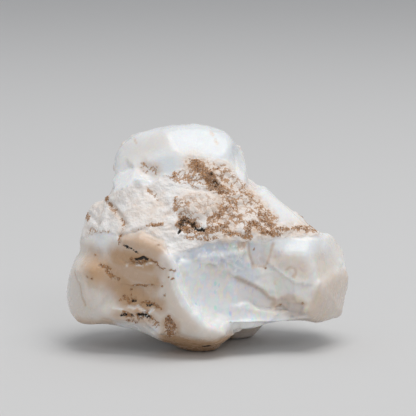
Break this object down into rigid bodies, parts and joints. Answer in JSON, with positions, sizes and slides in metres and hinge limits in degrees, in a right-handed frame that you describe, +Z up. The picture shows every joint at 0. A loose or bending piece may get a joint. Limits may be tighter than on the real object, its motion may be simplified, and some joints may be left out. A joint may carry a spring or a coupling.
{
  "type": "rough opal specimen",
  "caption": "Rough lump of pale opal with a worn white crown, a sloping earthy crust, a concave play-of-colour face and broken end lobes, resting on its keel and heel",
  "frame": {"origin": "middle of the stone's bounding box, at the level of the surface it rests on", "axes": "+X along the stone's length, to the right seen from the crusted front; -Y towards the crusted front; +Z up"},
  "size_m": [0.062, 0.0416, 0.0481],
  "materials": {
    "opal": "milky translucent opal: satin on the worn crown, glossy with soft play of colour on the broken front, matt pinkish-white crust with brown soil in its pits"
  },
  "bodies": {
    "root": {"rough_opal": "opal"}
  },
  "joints": []
}
